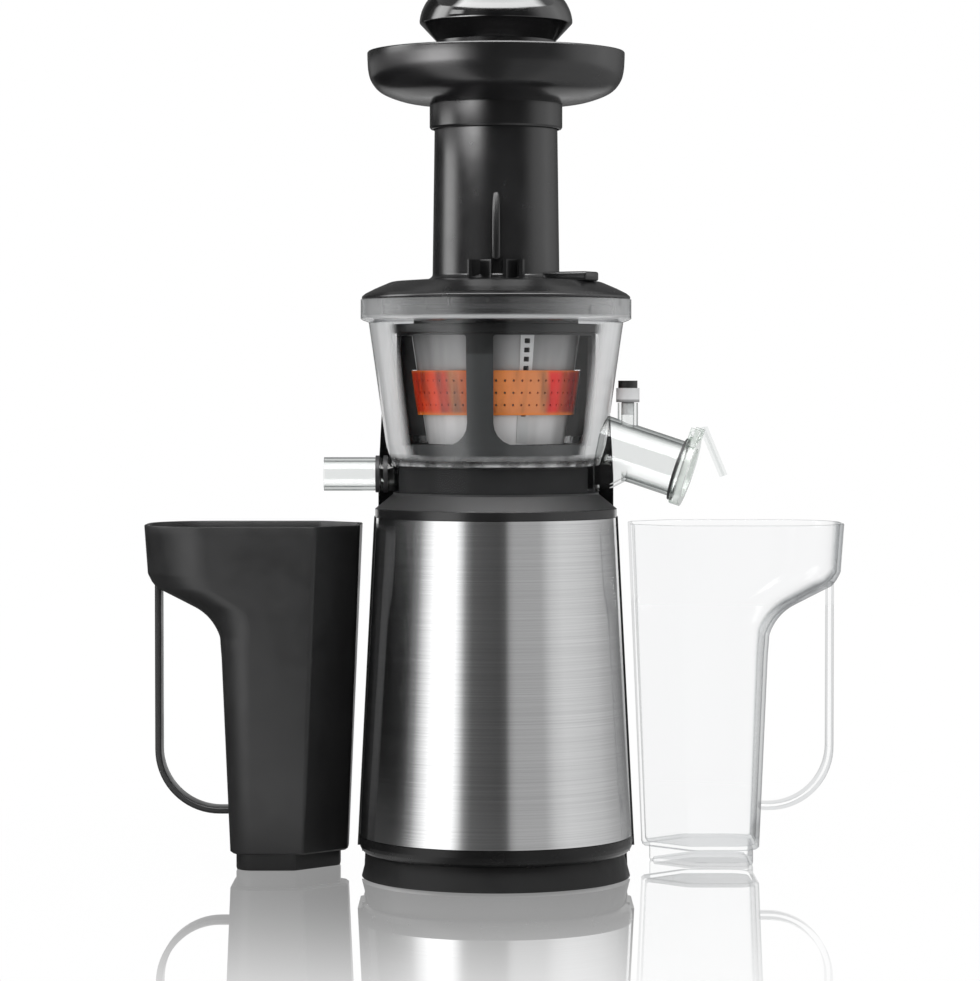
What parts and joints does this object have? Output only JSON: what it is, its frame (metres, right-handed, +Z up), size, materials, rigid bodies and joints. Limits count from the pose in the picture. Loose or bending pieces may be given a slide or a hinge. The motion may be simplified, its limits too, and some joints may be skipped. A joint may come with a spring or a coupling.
{
  "type": "cold press juicer",
  "caption": "Vertical cold press juicer: steel and black base, clear bowl with strainer and auger, lid with feed chute, tray and pusher, and two handled jugs.",
  "frame": {"origin": "on the machine's axis, at table height under the base", "axes": "+Z up along the drive axis, -Y to the front, +X to the pulp spout's side"},
  "size_m": [0.3594, 0.1724, 0.4452],
  "materials": {
    "rubber_black": "matte",
    "base_black": "fine grain",
    "screw_steel": "zinc",
    "gloss_black": "gloss",
    "brushed_steel": "horizontal brushing",
    "seal_grey": "matte",
    "motor_steel": "zinc",
    "magnet": "matte",
    "inner_plastic": "matte",
    "bronze": "sintered",
    "shaft_steel": "ground",
    "board_green": "solder mask",
    "capacitor_blue": "sleeve",
    "core_steel": "laminated",
    "copper": "enamelled wire",
    "pinion_brass": "machined",
    "fan_plastic": "matte",
    "gear_plastic": "moulded",
    "satin_black": "satin",
    "clear_plastic": "clear",
    "strainer_grey": "smoked",
    "band_amber": "tinted",
    "auger_grey": "satin",
    "white_gear": "moulded",
    "frame_grey": "satin",
    "plug_grey": "satin"
  },
  "bodies": {
    "base": {"foot_ring": "rubber_black", "base_plate": "base_black", "base_screws": "screw_steel", "lower_trim": "gloss_black", "rear_housing": "gloss_black", "steel_wrap": "brushed_steel", "top_deck": "gloss_black", "deck_screws": "screw_steel", "seat_seal": "seal_grey", "shaft_seal": "seal_grey", "motor_can": "motor_steel", "motor_magnets": "magnet", "motor_end_bell": "inner_plastic", "motor_bearings": "bronze", "gearbox_housing": "inner_plastic", "gearbox_cover": "inner_plastic", "gearbox_screws": "screw_steel", "counter_pin": "shaft_steel", "output_bearings": "bronze", "control_board": "board_green", "filter_capacitor": "capacitor_blue", "cord_gland": "rubber_black", "switch_bezel": "gloss_black"},
    "rotor": {"motor_shaft": "shaft_steel", "rotor_core": "core_steel", "rotor_windings": "copper", "motor_pinion": "pinion_brass", "cooling_fan": "fan_plastic"},
    "countershaft": {"cluster_gear": "gear_plastic"},
    "drive": {"output_gear": "gear_plastic", "drive_shaft": "shaft_steel"},
    "rocker": {"rocker_switch": "satin_black"},
    "bowl": {"bowl": "clear_plastic", "juice_spout": "clear_plastic", "pulp_spout": "clear_plastic", "bowl_shaft_seal": "seal_grey", "idler_pins": "shaft_steel", "strainer": "strainer_grey", "strainer_band": "band_amber", "juice_spout_seal": "seal_grey", "pulp_spout_gasket": "rubber_black", "pulp_spout_ring": "clear_plastic"},
    "auger": {"auger": "auger_grey", "auger_gear": "white_gear"},
    "brush": {"brush_frame": "frame_grey", "brush_ring_gear": "frame_grey", "wipers": "seal_grey"},
    "front_idler": {"front_idler_gear": "white_gear"},
    "rear_idler": {"rear_idler_gear": "white_gear"},
    "flap": {"pulp_flap": "clear_plastic"},
    "plug": {"port_plug": "plug_grey", "port_plug_cap": "rubber_black"},
    "lid": {"lid": "satin_black", "lid_gasket": "seal_grey", "lid_bushing": "bronze"},
    "tray": {"feed_tray": "satin_black"},
    "pusher": {"pusher_tube": "satin_black", "pusher_head": "gloss_black"},
    "black_jug": {"black_jug": "satin_black", "black_jug_handle": "satin_black"},
    "clear_jug": {"clear_jug": "clear_plastic", "clear_jug_handle": "clear_plastic"}
  },
  "joints": [
    {"name": "rotor_spin", "type": "hinge", "parent": "base", "child": "rotor", "pos_m": [0, 0, 0], "axis": [0, 0, 1], "continuous": true},
    {"name": "countershaft_spin", "type": "hinge", "parent": "base", "child": "countershaft", "pos_m": [0, 0.036, 0], "axis": [0, 0, 1], "continuous": true},
    {"name": "drive_spin", "type": "hinge", "parent": "base", "child": "drive", "pos_m": [0, 0, 0], "axis": [0, 0, 1], "continuous": true},
    {"name": "rocker_tip", "type": "hinge", "parent": "base", "child": "rocker", "pos_m": [0, 0.085, 0.0615], "axis": [1, 0, 0], "range_deg": [-10, 10]},
    {"name": "bowl_lift", "type": "slide", "parent": "base", "child": "bowl", "axis": [0, 0, 1], "range_m": [0, 0.08]},
    {"name": "auger_spin", "type": "hinge", "parent": "bowl", "child": "auger", "pos_m": [0, 0, 0], "axis": [0, 0, 1], "continuous": true},
    {"name": "brush_spin", "type": "hinge", "parent": "bowl", "child": "brush", "pos_m": [0, 0, 0], "axis": [0, 0, 1], "continuous": true},
    {"name": "front_idler_spin", "type": "hinge", "parent": "bowl", "child": "front_idler", "pos_m": [0, -0.0255, 0], "axis": [0, 0, 1], "continuous": true},
    {"name": "rear_idler_spin", "type": "hinge", "parent": "bowl", "child": "rear_idler", "pos_m": [0, 0.0255, 0], "axis": [0, 0, 1], "continuous": true},
    {"name": "flap_swing", "type": "hinge", "parent": "bowl", "child": "flap", "pos_m": [0.09899, -0.01745, 0.22298], "axis": [0.1736, 0.9848, 0], "range_deg": [-60, 38]},
    {"name": "plug_pull", "type": "slide", "parent": "bowl", "child": "plug", "axis": [0, 0, 1], "range_m": [0, 0.008]},
    {"name": "lid_turn", "type": "hinge", "parent": "bowl", "child": "lid", "pos_m": [0, 0, 0.2897], "axis": [0, 0, 1], "range_deg": [0, 25]},
    {"name": "tray_lift", "type": "slide", "parent": "lid", "child": "tray", "axis": [0, 0, 1], "range_m": [0, 0.04]},
    {"name": "pusher_slide", "type": "slide", "parent": "tray", "child": "pusher", "axis": [0, 0, 1], "range_m": [0, 0.12]},
    {"name": "black_jug_away", "type": "slide", "parent": "base", "child": "black_jug", "axis": [-1, 0, 0], "range_m": [0, 0.15]},
    {"name": "clear_jug_away", "type": "slide", "parent": "base", "child": "clear_jug", "axis": [1, 0, 0], "range_m": [0, 0.15]}
  ],
  "couplings": [
    {"joint": "countershaft_spin", "follows": "rotor_spin", "ratio": -0.2},
    {"joint": "drive_spin", "follows": "rotor_spin", "ratio": 0.04},
    {"joint": "auger_spin", "follows": "rotor_spin", "ratio": 0.04},
    {"joint": "front_idler_spin", "follows": "rotor_spin", "ratio": -0.045},
    {"joint": "rear_idler_spin", "follows": "rotor_spin", "ratio": -0.045},
    {"joint": "brush_spin", "follows": "rotor_spin", "ratio": -0.0144}
  ]
}
